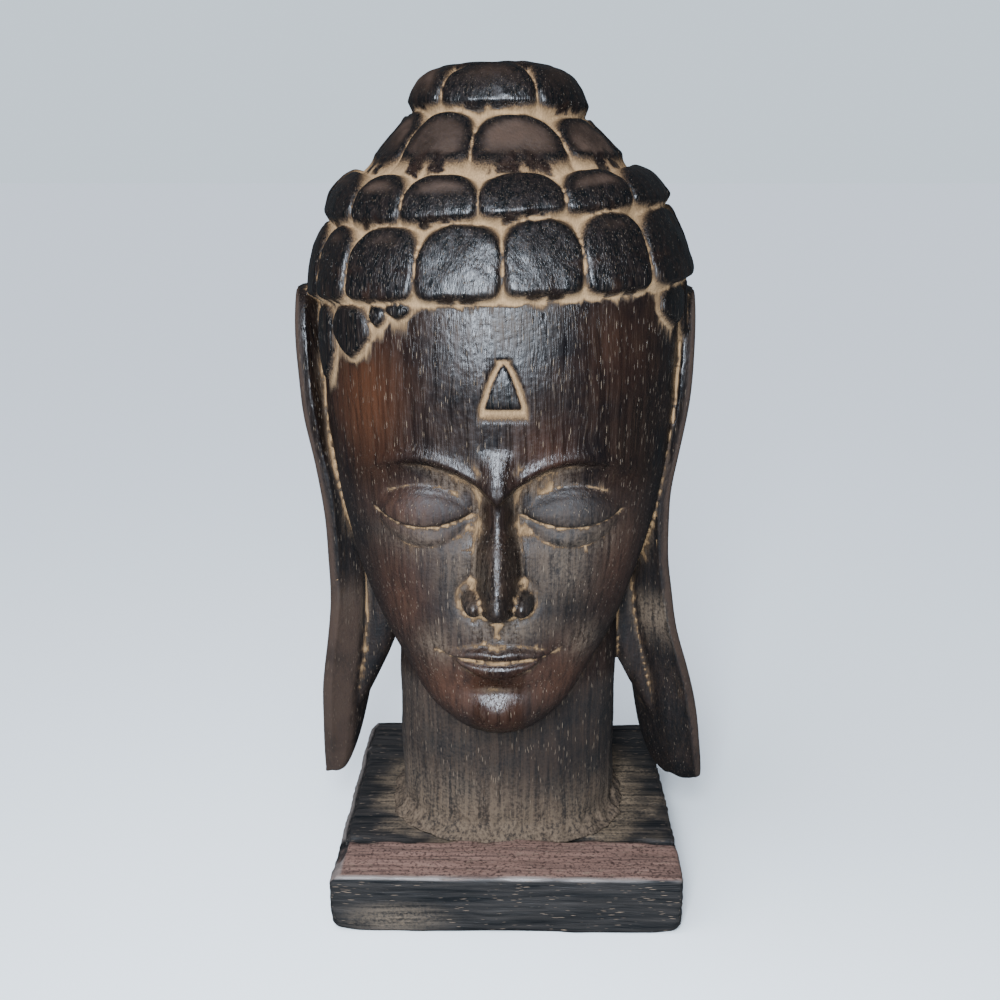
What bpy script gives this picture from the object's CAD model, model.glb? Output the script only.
import math
from collections import namedtuple

import bmesh
import bpy
import numpy as np
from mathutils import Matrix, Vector
from mathutils.kdtree import KDTree


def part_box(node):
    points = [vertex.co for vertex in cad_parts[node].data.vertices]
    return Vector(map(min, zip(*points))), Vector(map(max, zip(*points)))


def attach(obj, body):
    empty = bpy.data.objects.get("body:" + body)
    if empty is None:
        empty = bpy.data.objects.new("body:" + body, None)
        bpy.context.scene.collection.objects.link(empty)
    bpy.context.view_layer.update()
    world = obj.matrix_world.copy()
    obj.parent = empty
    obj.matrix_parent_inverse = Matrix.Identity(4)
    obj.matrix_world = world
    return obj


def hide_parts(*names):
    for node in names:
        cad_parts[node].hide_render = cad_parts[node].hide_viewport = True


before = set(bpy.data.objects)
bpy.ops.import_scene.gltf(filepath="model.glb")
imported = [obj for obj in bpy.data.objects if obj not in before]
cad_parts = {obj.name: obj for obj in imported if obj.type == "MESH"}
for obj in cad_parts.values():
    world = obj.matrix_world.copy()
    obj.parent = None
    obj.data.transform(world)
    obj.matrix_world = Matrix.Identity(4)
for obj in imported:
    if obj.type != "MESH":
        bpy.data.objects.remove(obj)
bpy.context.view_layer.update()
base_low, base_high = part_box("base_block")
head_low, head_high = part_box("carved_head")

# The head's own sizes in metres, worked from the frame where it holds them
BASE_WIDTH = base_high.x - base_low.x
BASE_DEPTH = base_high.y - base_low.y
BASE_TOP = base_high.z
CHIN_CLEARANCE = 0.0512
CROWN_PAD_RISE = 0.0028
CHIN_Z = BASE_TOP + CHIN_CLEARANCE
HEAD_HEIGHT = head_high.z - CROWN_PAD_RISE - CHIN_Z
SKULL_WIDTH = 0.127
SKULL_DEPTH = 0.123
HEAD_SHIFT = -0.0030
KNOT_LEAN = -0.0012
CORNER_FULLNESS = 0.039
FACE_SHARE = 0.687
EYES_ACROSS = 5.4
EYE_WIDTH = SKULL_WIDTH / EYES_ACROSS
HAIRLINE_Z = CHIN_Z + FACE_SHARE * HEAD_HEIGHT
NOSE_REACH = 0.0145
LINE_WIDTH = 0.0019

CURL_RISE = 0.0044
CURL_SINK = 0.0050
CURL_TUCK = 0.0012
CURL_SIDE_FLANK = 0.0010
CURL_TOP_FLANK = 0.0008
CURL_OVERLAP = 0.0014
CURL_FACE_ROWS = 0.5
CURL_TOP_SQUARENESS = 2.2
CURL_FOOT_SQUARENESS = 7.0
CURL_SKIRT_SQUARENESS = 4.5
CURL_EDGE_ROUND = 0.0005
SMALL_CURL = 0.006
CURL_TOP_DROP = 0.12
CURL_LEAN = 0.07
FACET_WANDER = 0.10
CUT_WANDER = 0.008
LOCK_RISE = 0.0026
LOCK_FOOT_SQUARENESS = 1.35
WORN_RIM = 0.85
CROWN_PAD_WIDTH = 0.042

NECK_WIDTH = 0.084
NECK_DEPTH = 0.068
NECK_SET_BACK = 0.003
NECK_FOOT_SPREAD = 0.005
NECK_FOOT_RISE = 0.007
NECK_TOP_Z = CHIN_Z + 0.265 * HEAD_HEIGHT
NECK_SQUARENESS = 2.5

EAR_TOP_SHARE = 0.686
EAR_TIP_Z = BASE_TOP + 0.0080
EAR_LENGTH = CHIN_Z + EAR_TOP_SHARE * HEAD_HEIGHT - EAR_TIP_Z
EAR_THICKNESS = 0.0110
EAR_LOBE_DEPTH = 0.0260
EAR_SET_BACK = 0.001
EAR_SQUARENESS = 4.5
EAR_TAPER_SHARE = 0.27
EAR_FRONT_THINNING = 0.35
EAR_TIP_SLANT = 0.2
EAR_ROOT_FOOT = 0.26
EAR_ROOT_TOP = 0.96
EAR_ROOT_START = 0.55
EAR_ROOT_DEPTH = 0.62
EAR_ROOT_SET_BACK = 0.005
EAR_ROOT_SLOPE = 0.30
EAR_ROOT_FLATNESS = 0.5
EAR_ROOT_SQUARENESS = 2.25

# The carving's grid: how finely its forms are made and how many facets it keeps
CURL_COLUMNS = 56
CURL_ROWS = 36
CARVING_GRID = 0.00066
HEAD_TRIANGLES = 190000
BASE_GRID = 0.0010
BASE_TRIANGLES = 90000

# From the chin's underside to the crown: rise as a share of the head's height,
# half width as a share of half the skull's width, and the front and the back
# as shares of half its depth.
SKULL_STATIONS = (
    (0.000, 0.00, -0.55, -0.55),
    (0.002, 0.14, -0.71, -0.33),
    (0.018, 0.28, -0.82, -0.13),
    (0.054, 0.43, -0.885, 0.10),
    (0.108, 0.57, -0.90, 0.36),
    (0.170, 0.70, -0.93, 0.61),
    (0.251, 0.82, -0.945, 0.81),
    (0.341, 0.91, -0.955, 0.92),
    (0.453, 0.975, -0.985, 0.99),
    (0.565, 0.995, -1.00, 1.015),
    (0.640, 1.00, -0.990, 1.015),
    (0.700, 1.00, -0.970, 1.005),
    (0.745, 0.965, -0.935, 0.965),
    (0.785, 0.905, -0.880, 0.905),
    (0.820, 0.855, -0.835, 0.850),
    (0.846, 0.780, -0.765, 0.775),
    (0.866, 0.640, -0.630, 0.635),
    (0.892, 0.560, -0.555, 0.550),
    (0.920, 0.475, -0.475, 0.465),
    (0.947, 0.425, -0.425, 0.405),
    (0.970, 0.395, -0.400, 0.375),
    (0.987, 0.345, -0.350, 0.325),
    (0.997, 0.190, -0.195, 0.165),
    (1.000, 0.00, -0.015, -0.015),
)

# Lines cut round the hair between its rows, from the crown down: each line's height as a
# share of the head's height at these turns from the front, in degrees
LINE_TURNS = (-90.0, -45.0, 0.0, 45.0, 90.0)
HAIR_LINES = (
    (0.999, 0.999, 0.999, 0.999, 0.999),
    (0.936, 0.936, 0.932, 0.928, 0.928),
    (0.852, 0.846, 0.846, 0.852, 0.857),
    (0.780, 0.776, 0.787, 0.802, 0.806),
    (0.668, 0.680, 0.689, 0.697, 0.702),
    *((share,) * len(LINE_TURNS) for share in (0.590, 0.490, 0.390, 0.290, 0.200)),
)

# The rows between those lines. Turns of the upright cuts in front, in degrees, and the
# number of curls that share the rest of the round; how high the slope below a curl's face
# is, as a share of the curl; where the worn facet starts on the face, and how steep it is.
Row = namedtuple("Row", "cuts rest foot_flank worn_from worn_slope")
HAIR_ROWS = (
    Row((-84.0, -38.0, 27.5, 76.0), 3, 0.22, -0.10, 0.20),
    Row((-72.0, -45.5, -11.0, 34.5, 72.0), 5, 0.19, -0.45, 0.16),
    Row((-77.0, -50.0, -31.0, -5.5, 22.0, 46.5, 77.0), 8, 0.19, 0.30, 0.35),
    Row((-80.0, -62.0, -45.0, -23.3, 1.5, 24.7, 46.0, 80.0), 8, 0.06, 0.42, 0.45),
)
BACK_ROW = (0.12, 0.40, 0.40)
BACK_CUTS = ((106.0, 6), (112.0, 6), (118.0, 5), (122.0, 4), (134.0, 4))

# Locks in front of the ears: first and last turn from the front in degrees, and lower
# and upper end as shares of the head's height.
TEMPLE_LOCKS = (
    (-54.0, -38.5, 0.600, 0.674),
    (-67.0, -55.0, 0.555, 0.668),
    (-38.0, -33.0, 0.648, 0.678),
    (-32.5, -25.5, 0.662, 0.683),
    (52.0, 71.0, 0.640, 0.699),
    (71.5, 84.0, 0.590, 0.700),
)

# Each ear from the lobe's tip to its top: rise as a share of the ear's length, half
# depth and half thickness as shares of the lobe's, how far it leans back as a share
# of the lobe's depth, and its turn in degrees.
EAR_STATIONS = (
    (0.000, 0.00, 0.00, 0.00, 34.0),
    (0.008, 0.46, 0.58, 0.00, 34.0),
    (0.030, 0.74, 0.84, 0.00, 34.0),
    (0.075, 0.93, 0.97, 0.00, 34.0),
    (0.140, 1.00, 1.00, 0.00, 34.0),
    (0.280, 0.98, 0.98, 0.00, 32.0),
    (0.420, 0.95, 0.95, 0.02, 26.0),
    (0.560, 1.12, 0.95, 0.06, 19.0),
    (0.700, 1.38, 0.98, 0.12, 14.0),
    (0.840, 1.50, 1.00, 0.16, 12.0),
    (0.940, 1.38, 0.98, 0.18, 12.0),
    (0.988, 0.95, 0.85, 0.18, 12.0),
    (1.000, 0.00, 0.00, 0.18, 12.0),
)

# The nose from its base up, in eye widths above the chin: height, reach as a share
# of the tip's reach, and half width in eye widths.
NOSE_STATIONS = (
    (2.04, 0.00, 0.30),
    (2.10, 0.14, 0.32),
    (2.18, 0.52, 0.35),
    (2.28, 0.86, 0.38),
    (2.42, 1.00, 0.40),
    (2.60, 0.95, 0.40),
    (2.90, 0.80, 0.37),
    (3.20, 0.65, 0.34),
    (3.50, 0.51, 0.31),
    (3.80, 0.39, 0.29),
    (4.10, 0.29, 0.30),
    (4.40, 0.14, 0.36),
    (4.60, 0.00, 0.45),
)

Ear = namedtuple("Ear", "side reaches breadth point")

# Reaches run from the lobe's tip to the top, and say how far the ear's outer side
# stands out beyond the skull's widest place, as shares of the skull's width. Breadth
# widens the ear, and point is the share of its width that the lobe's tip loses.
EARS = {
    "left": Ear(-1, (0.066, 0.050, 0.013, 0.017, 0.061, 0.075), 1.05, 0.75),
    "right": Ear(1, (0.137, 0.095, 0.016, -0.012, 0.028, 0.039), 1.25, 0.15),
}

chance = np.random.default_rng(11)


def run_through(stations, shares):
    """Points at these shares of a smooth run through the stations."""
    table = np.asarray(stations, float)
    place = np.clip(shares, 0, 1) * (len(table) - 1)
    start = np.minimum(place.astype(int), len(table) - 2)
    along = (place - start)[..., None]
    a = table[np.maximum(start - 1, 0)]
    b = table[start]
    c = table[start + 1]
    d = table[np.minimum(start + 2, len(table) - 1)]
    bend = 2 * a - 5 * b + 4 * c - d + along * (3 * b - 3 * c + d - a)
    return b + 0.5 * along * (c - a + along * bend)


def rounded(turn, squareness):
    """Unit outline at these turns: a circle at 2, squarer above."""
    across, up = np.cos(turn), np.sin(turn)
    power = 2 / squareness
    return np.sign(across) * abs(across) ** power, np.sign(up) * abs(up) ** power


def skull_outline(turn):
    """Unit outline that is a little fuller than a circle at its corners."""
    size = 1 + CORNER_FULLNESS * np.sin(2 * turn) ** 2
    return np.sin(turn) * size, -np.cos(turn) * size


def hill(value):
    """Rounded hump: 1 at 0, falling to 0 at 1 either way."""
    return np.clip(1 - value * value, 0, 1) ** 2


def dome(value, roundness=0.6):
    """Fuller hump for a squared distance: 1 at 0, steep where it meets 0 at 1."""
    return np.clip(1 - value, 0, 1) ** roundness


def swell(across, up, wide, high):
    """Soft swelling that fades out evenly."""
    return np.exp(-((across / wide) ** 2) - (up / high) ** 2)


def ramp(value):
    """0 up to 0 and 1 from 1 on, with a smooth rise between them."""
    share = np.clip(value, 0, 1)
    return share * share * (3 - 2 * share)


def fade(value, none, full):
    """0 where the value is at none, rising smoothly to 1 where it is at full."""
    return ramp((value - none) / (full - none))


def blended_top(first, second, reach):
    """The higher of two heights, with a fillet of this reach between them."""
    share = np.clip(0.5 + (first - second) / (2 * reach), 0, 1)
    return first * share + second * (1 - share) + reach * share * (1 - share)


def blended_foot(first, second, reach):
    """The lower of two heights, with a rounding of this reach between them."""
    return -blended_top(-first, -second, reach)


class Waves:
    """Smooth seeded unevenness, as a hand tool leaves: a sum of slow waves.

    Length and height are in metres, and stretch makes the waves longer along x, y and z.
    """

    def __init__(self, seed, length, height, count=14, stretch=(1.0, 1.0, 1.0)):
        dice = np.random.default_rng(seed)
        ways = dice.normal(size=(count, 3))
        ways /= np.linalg.norm(ways, axis=1)[:, None]
        rates = 2 * math.pi / (length * dice.uniform(0.7, 1.6, count))
        self.ways = ways * rates[:, None] / np.array(stretch)
        self.starts = dice.uniform(0, 2 * math.pi, count)
        self.height = height * math.sqrt(2 / count)

    def at(self, points):
        return np.sin(points @ self.ways.T + self.starts).sum(axis=1) * self.height


# Unevenness of the carving: gouge cuts all over, hammering on the hair and fainter on the
# neck, upright flutes on the neck, and dust caked round its foot
BROAD_CUTS = Waves(3, 0.030, 0.00016)
FINE_CUTS = Waves(4, 0.009, 0.00004, stretch=(1, 1, 3))
HAMMERING = Waves(5, 0.006, 0.00008)
NECK_FLUTES = Waves(6, 0.012, 0.00022, stretch=(1, 1, 12))
DUST_LUMPS = Waves(7, 0.007, 0.00030, 24)
DUST_CRUMBS = Waves(8, 0.003, 0.00015, 24)

# Unevenness of the board: its edges, its lip's back, and the ridges of its grain
EDGE_WEAR = Waves(21, 0.030, 0.0002)
CHAMFER_WAVER = Waves(22, 0.020, 0.0003)
LIP_WAVER = Waves(23, 0.012, 0.0005)
GRAIN_RIDGES = Waves(25, 0.0040, 0.00008, 24, (9, 1, 1))
GRAIN_LINES = Waves(26, 0.0022, 0.000056, 24, (7, 1, 1))
BOARD_HOLLOWS = Waves(27, 0.016, 0.00010)

# How unevenly marks show on the board: these heights are shares of the mark
SCORE_BREAKS = Waves(24, 0.030, 0.5)
BROAD_SWEEPS = Waves(28, 0.012, 0.05, stretch=(2, 1, 1))
FINE_SWEEPS = Waves(29, 0.004, 0.05, stretch=(2, 1, 1))
RIM_BREAKS = Waves(30, 0.022, 0.4)


def read_points(mesh):
    points = np.empty(len(mesh.vertices) * 3, np.float32)
    mesh.vertices.foreach_get("co", points)
    return points.reshape(-1, 3).astype(float)


def write_points(mesh, points):
    mesh.vertices.foreach_set("co", points.astype(np.float32).ravel())
    mesh.update()


def read_normals(mesh):
    normals = np.empty(len(mesh.vertices) * 3, np.float32)
    mesh.vertex_normals.foreach_get("vector", normals)
    return normals.reshape(-1, 3).astype(float)


def ball_mesh(columns, rows):
    """A sphere's mesh with, for each vertex, its turn and its tilt from below."""
    bm = bmesh.new()
    bmesh.ops.create_uvsphere(bm, u_segments=columns, v_segments=rows, radius=1.0)
    mesh = bpy.data.meshes.new("ball")
    bm.to_mesh(mesh)
    bm.free()
    points = read_points(mesh)
    turns = np.arctan2(points[:, 1], points[:, 0])
    tilts = np.arccos(np.clip(-points[:, 2], -1, 1))
    return mesh, turns, tilts


def face_outwards(mesh):
    bm = bmesh.new()
    bm.from_mesh(mesh)
    bmesh.ops.recalc_face_normals(bm, faces=bm.faces)
    if bm.calc_volume(signed=True) < 0:
        bmesh.ops.reverse_faces(bm, faces=bm.faces)
    bm.to_mesh(mesh)
    bm.free()


class Skull:
    """The plain skull: level rounded sections through the stations."""

    def __init__(self):
        shares = np.linspace(0, 1, 4001)
        table = run_through(SKULL_STATIONS, shares)
        table[:, 0] = np.maximum.accumulate(table[:, 0])
        step = np.diff(table * (HEAD_HEIGHT, SKULL_WIDTH / 2, 0, 0), axis=0)
        length = np.concatenate([[0], np.cumsum(np.linalg.norm(step, axis=1))])
        self.shares, self.rises, self.lengths = shares, table[:, 0], length / length[-1]

    def share_at_height(self, z):
        return np.interp((z - CHIN_Z) / HEAD_HEIGHT, self.rises, self.shares)

    def share_at_length(self, length):
        """Share along the stations at which this share of the outline is behind."""
        return np.interp(length, self.lengths, self.shares)

    def point(self, turn, share):
        """Points on the skull. Turn 0 is the front, and a positive turn is to +X."""
        rise, half_width, front, back = run_through(SKULL_STATIONS, share).T
        across, along = skull_outline(turn)
        lean = KNOT_LEAN * ramp((rise - 0.75) / 0.2)
        x = HEAD_SHIFT + lean + half_width * SKULL_WIDTH / 2 * across
        middle, half = (front + back) / 2, (back - front) / 2
        y = (middle + half * along) * SKULL_DEPTH / 2
        return np.stack([x, y, CHIN_Z + rise * HEAD_HEIGHT], axis=-1)

    def even_turn(self, turn, share):
        """The outline's own turn for a point that is seen at this turn."""
        half_width, front, back = run_through(SKULL_STATIONS, share).T[1:]
        wide = half_width * SKULL_WIDTH
        deep = (back - front) / 2 * SKULL_DEPTH
        own = np.arctan2(np.sin(turn) * deep, np.cos(turn) * wide)
        return own + 2 * math.pi * np.round((turn - own) / (2 * math.pi))

    def proud_point(self, turn, share, proud):
        """Points this far out from the skull."""
        step = 0.01
        around = self.point(turn + step, share) - self.point(turn - step, share)
        upper = self.point(turn, np.minimum(share + step, 1.0))
        upward = upper - self.point(turn, share - step)
        out = np.cross(around, upward)
        out /= np.linalg.norm(out, axis=1)[:, None]
        return self.point(turn, share) + out * proud[:, None]


skull = Skull()


def nose_height(across, up):
    """Nose with a narrow back, sloping sides and two wings, in eye widths."""
    heights, reaches, halves = np.array(NOSE_STATIONS).T
    reach = np.interp(up, heights, reaches, left=0, right=0) * NOSE_REACH / EYE_WIDTH
    half = np.interp(up, heights, halves)
    back = 0.07
    side = np.clip((half - across) / (half - back), 0, 1)
    body = reach * (0.35 * side + 0.65 * ramp(side) - 0.04 * np.minimum(across / back, 1) ** 2)
    body += 0.06 * dome((across / 0.20) ** 2 + ((up - 2.44) / 0.22) ** 2, 0.8)
    wing = dome(((across - 0.34) / 0.17) ** 2 + ((up - 2.35) / 0.20) ** 2, 0.6)
    body = blended_top(body, 0.36 * wing, 0.05)
    crease = hill(np.hypot((across - 0.30) / 0.26, (up - 2.40) / 0.28) * 2.2 - 2.2)
    body -= 0.035 * crease * ramp((across - 0.2) / 0.1)
    return body - 0.14 * hill(np.hypot((across - 0.19) / 0.11, (up - 2.14) / 0.08))


def eye_height(across, up):
    """Socket under an arched brow, a closed lid and its lash line."""
    out = across - 1.06
    brow = 4.43 - 0.40 * (across - 1.15) ** 2
    fade = ramp((up - 3.0) / 0.55)
    socket = 0.21 * np.exp(-(((across - 0.62) / 0.75) ** 2))
    height = -socket * ramp((brow - up) / 0.14) * fade
    edge = ramp((2.2 - across) / 0.5) * ramp(across / 0.25)
    height += 0.045 * swell(0, up - brow + 0.02, 1, 0.13) * edge
    lid = dome((out / 0.66) ** 2 + ((up - 3.57) / 0.42) ** 2, 0.75)
    height += 0.20 * lid
    lash = 3.44 + 0.16 * (out / 0.68) ** 2
    inside = ramp((0.72 - abs(out)) / 0.12)
    height += 0.045 * ramp((up - lash) / 0.04) * ramp((lash + 0.42 - up) / 0.3) * inside
    half_line = LINE_WIDTH / EYE_WIDTH / 2
    height -= 0.06 * hill((up - lash + 0.03) / half_line) * ramp((0.80 - abs(out)) / 0.14)
    crease = 3.90 - 0.26 * (out / 0.74) ** 2
    height -= 0.025 * hill((up - crease) / 0.035) * ramp((0.76 - abs(out)) / 0.2)
    return height + 0.035 * swell(out, up - 3.22, 0.5, 0.12)


def mouth_height(across, up):
    """Closed lips parted by one line, on a soft swelling, with the chin below."""
    height = 0.12 * swell(across, up - 1.5, 1.0, 0.75)
    line = 1.47 + 0.05 * (across / 0.80) ** 2
    width = np.clip(1 - (across / 0.80) ** 2, 0, 1)
    upper = 0.24 * width - 0.05 * hill(across / 0.20)
    middle = line + upper / 2
    full = dome(((up - middle) / np.maximum(upper / 2, 0.02)) ** 2)
    height += 0.12 * full * width**0.4
    width = np.clip(1 - (across / 0.66) ** 2, 0, 1)
    lower = 0.31 * width
    middle = line - lower / 2
    full = dome(((up - middle) / np.maximum(lower / 2, 0.02)) ** 2)
    height += 0.15 * full * width**0.4
    half_line = LINE_WIDTH / EYE_WIDTH / 2
    height -= 0.06 * hill((up - line) / half_line) * ramp((0.88 - across) / 0.12)
    height -= 0.05 * swell(across - 0.88, up - 1.53, 0.10, 0.12)
    philtrum = ramp((up - 1.75) / 0.1) * ramp((2.2 - up) / 0.2)
    height -= 0.035 * hill(across / 0.13) * philtrum
    height -= 0.10 * swell(across, up - 0.92, 0.50, 0.16)
    return height + 0.13 * swell(across, up - 0.42, 0.42, 0.28)


ORNAMENT_WIDTH = 0.0110
ORNAMENT_HEIGHT = 0.0135
ORNAMENT_UP = 5.45
ORNAMENT_GROOVE = 0.0032
ORNAMENT_FOOT_GROOVE = 0.0050
ORNAMENT_DEPTH = 0.085
ORNAMENT_SHIFT = 0.0019


def beyond_ornament(across, up):
    """How far outside the forehead's drop-shaped boss, as a share of its groove's width."""
    half_height = ORNAMENT_HEIGHT / EYE_WIDTH / 2
    rise = (up - ORNAMENT_UP) / half_height
    taper = np.clip((1 - rise) / 2, 0, 1) ** 0.7
    side = (across - ORNAMENT_WIDTH / EYE_WIDTH / 2 * taper) * EYE_WIDTH / ORNAMENT_GROOVE
    foot = (-1 - rise) * ORNAMENT_HEIGHT / 2 / ORNAMENT_FOOT_GROOVE
    return np.maximum(np.maximum(side, foot), (rise - 1) * 3)


def ornament_height(across, up):
    """Groove cut round the boss: steep at the boss and running out softly."""
    outside = beyond_ornament(across, up)
    return -ORNAMENT_DEPTH * ramp(outside / 0.18) * ramp((1 - outside) / 0.8)


def face_relief(x, z):
    """How far the face stands in front of the plain skull at x and z."""
    across = abs(x) / EYE_WIDTH
    up = (z - CHIN_Z) / EYE_WIDTH
    height = eye_height(across, up) + mouth_height(across, up)
    height += 0.10 * swell(across - 1.45, up - 2.75, 0.55, 0.55)
    height -= 0.07 * swell(across - 2.25, up - 4.7, 0.35, 0.80)
    height += nose_height(across, up)
    beside = abs(x - ORNAMENT_SHIFT) / EYE_WIDTH
    return (height + ornament_height(beside, up)) * EYE_WIDTH


def carve_skull():
    """Skull with the face carved on its front, where the columns are closer."""
    columns, rows, crowding = 380, 380, 0.45
    mesh, turns, tilts = ball_mesh(columns, rows)
    share = skull.share_at_length(tilts / math.pi)
    from_front = (turns + 1.5 * math.pi) % (2 * math.pi) - math.pi
    turn = from_front - crowding * np.sin(from_front)
    points = skull.point(turn, share)
    facing = ramp(1.6 - abs(turn))
    points[:, 1] -= facing * face_relief(points[:, 0] - HEAD_SHIFT, points[:, 2])
    write_points(mesh, points)
    return mesh


def line_height(line, turn):
    """Height of a line cut round the head, at these turns."""
    back = (line[0] + line[-1]) / 2
    degrees = (np.degrees(turn) + 180) % 360 - 180
    share = np.interp(degrees, (-180.0, *LINE_TURNS, 180.0), (back, *line, back))
    return CHIN_Z + share * HEAD_HEIGHT


def carve_curl(start, end, low, high, row, rise=CURL_RISE, foot_squareness=CURL_FOOT_SQUARENESS):
    """One cushion of hair: a face, and slopes that run down to the cuts round it.

    It lies between two turns and two lines. Returns the mesh and, for each outer
    vertex, its place, how worn it is and how far it drops below the face.
    """
    mesh, angles, tilts = ball_mesh(CURL_COLUMNS, CURL_ROWS)
    middle, half_turn = (start + end) / 2, (end - start) / 2
    half_height = (line_height(high, middle) - line_height(low, middle)) / 2
    centre_z = np.array([line_height(low, middle) + half_height])
    half_width, front, back = run_through(SKULL_STATIONS, skull.share_at_height(centre_z))[0, 1:]
    radius = (half_width * SKULL_WIDTH + (back - front) / 2 * SKULL_DEPTH) / 4
    half_width = half_turn * (radius + rise / 2)
    out = 1 - abs(tilts / (math.pi / 2) - 1)
    face = np.minimum(out / CURL_FACE_ROWS, 1)
    flank = np.clip((out - CURL_FACE_ROWS) / (1 - CURL_FACE_ROWS), 0, 1)
    upper = np.sin(angles) > 0
    top_across, top_up = rounded(angles, CURL_TOP_SQUARENESS)
    low_across, low_up = rounded(angles, foot_squareness)
    skirt_across, skirt_up = rounded(angles, CURL_SKIRT_SQUARENESS)
    skirt_across = np.where(upper, skirt_across, low_across)
    skirt_up = np.where(upper, skirt_up, low_up)
    small = min(1.0, half_width / SMALL_CURL)
    edge_across = np.where(upper, top_across, low_across) * (half_width - CURL_SIDE_FLANK * small)
    foot_flank = row.foot_flank * 2 * half_height
    edge_up = np.where(
        upper, top_up * (half_height - CURL_TOP_FLANK), low_up * (half_height - foot_flank)
    )
    across = edge_across * face
    across += (skirt_across * (half_width + CURL_OVERLAP) - edge_across) * flank
    up = edge_up * face + (skirt_up * (half_height + CURL_OVERLAP) - edge_up) * flank
    lean_side, lean_up = chance.normal(0, CURL_LEAN, 2)
    level = rise * (1 + lean_side * across / half_width + (lean_up - CURL_TOP_DROP) * up / half_height)
    slope = rise * (1 + 2.5 * (1 - face)) * (1 - flank) - CURL_TUCK * flank
    worn_from = row.worn_from + chance.normal(0, FACET_WANDER)
    fall = row.worn_slope * (up / half_height - worn_from)
    facet = rise * (1 - fall + lean_side * across / half_width)
    whole = blended_foot(level, slope, CURL_EDGE_ROUND)
    cut = blended_foot(whole, facet, CURL_EDGE_ROUND / 2)
    worn = ramp((level - facet) / CURL_EDGE_ROUND) * ramp((WORN_RIM - face) / 0.15)
    top = tilts > math.pi / 2 - 0.001
    proud = np.where(top, cut, -CURL_SINK * (1 - flank) - CURL_TUCK * flank)
    turn = middle + across / (radius + rise / 2)
    lower, higher = line_height(low, turn), line_height(high, turn)
    z = lower + (higher - lower) * (1 + up / half_height) / 2
    share = skull.share_at_height(np.minimum(z, CHIN_Z + 0.9990 * HEAD_HEIGHT))
    points = skull.proud_point(skull.even_turn(turn, share), share, proud)
    write_points(mesh, points)
    face_outwards(mesh)
    return mesh, np.column_stack([points, worn, level - whole])[top]


def carve_curls():
    """Rows of curls round the head, then the locks at the temples."""
    rows = list(HAIR_ROWS)
    for first, count in BACK_CUTS:
        turns = np.linspace(first, 360 - first, count + 1)
        rows.append(Row(tuple(turns), 0, *BACK_ROW))
    curls = []
    for row, high, low in zip(rows, HAIR_LINES, HAIR_LINES[1:]):
        rest = np.linspace(row.cuts[-1], row.cuts[0] + 360, row.rest + 1)[1:] if row.rest else ()
        cuts = np.radians([*row.cuts, *rest])
        cuts = cuts + chance.normal(0, CUT_WANDER, len(cuts))
        if row.rest:
            cuts[-1] = cuts[0] + 2 * math.pi
        for start, end in zip(cuts, cuts[1:]):
            curls.append(carve_curl(start, end, low, high, row))
    lock_row = Row((), 0, 0.08, 0.9, 0.3)
    shape = {"rise": LOCK_RISE, "foot_squareness": LOCK_FOOT_SQUARENESS}
    for first, last, low, high in TEMPLE_LOCKS:
        turns = math.radians(first), math.radians(last)
        lines = (low,) * len(LINE_TURNS), (high,) * len(LINE_TURNS)
        curls.append(carve_curl(*turns, *lines, lock_row, **shape))
    return curls


def carve_crown_pad():
    """Round pad that closes the top of the hair."""
    mesh, turns, tilts = ball_mesh(60, 30)
    half = CROWN_PAD_WIDTH / 2 * np.sin(tilts) ** 0.3
    top = skull.point(np.zeros(1), np.ones(1))[0]
    x = top[0] + half * np.cos(turns)
    y = top[1] + half * np.sin(turns)
    write_points(mesh, np.stack([x, y, top[2] - np.cos(tilts) * CROWN_PAD_RISE], axis=1))
    return mesh


def carve_neck():
    """Column with a spreading foot, flat below, up into the skull."""
    rows = 100
    mesh, turns, tilts = ball_mesh(200, rows)
    row = tilts / math.pi * rows
    rise = np.clip((row - 1) / (rows - 2), 0, 1)
    z = head_low.z + rise * (NECK_TOP_Z - head_low.z)
    spread = NECK_FOOT_SPREAD * np.clip(1 - (z - head_low.z) / NECK_FOOT_RISE, 0, 1) ** 2
    closed = (row > 0.5) & (row < rows - 0.5)
    across, along = rounded(turns, NECK_SQUARENESS)
    x = across * (NECK_WIDTH / 2 + spread) * closed
    y = NECK_SET_BACK + along * (NECK_DEPTH / 2 + spread) * closed
    write_points(mesh, np.stack([x, y, z], axis=1))
    return mesh


def ear_section(share, ear):
    """Level sections of an ear: centre, half thickness, half depth and twist."""
    rise, depth, thick, lean, degrees = run_through(EAR_STATIONS, share).T
    tapered = 1 - ear.point * np.clip(1 - rise / EAR_TAPER_SHARE, 0, 1)
    half_depth = depth * tapered * ear.breadth * EAR_LOBE_DEPTH / 2
    half_thick = thick * EAR_THICKNESS / 2
    twist = np.radians(degrees)
    power = EAR_SQUARENESS / (EAR_SQUARENESS - 1)
    thick_part = abs(half_thick * np.cos(twist)) ** power
    deep_part = abs(half_depth * np.sin(twist)) ** power
    inset = (thick_part + deep_part) ** (1 / power)
    reaches = np.array(ear.reaches)[:, None]
    reach = SKULL_WIDTH * (0.5 + run_through(reaches, rise)[:, 0])
    x = HEAD_SHIFT + ear.side * (reach - inset)
    y = EAR_SET_BACK + lean * EAR_LOBE_DEPTH
    z = EAR_TIP_Z + rise * EAR_LENGTH
    return np.stack([x, y, z], axis=1), half_thick, half_depth, ear.side * twist


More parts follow.
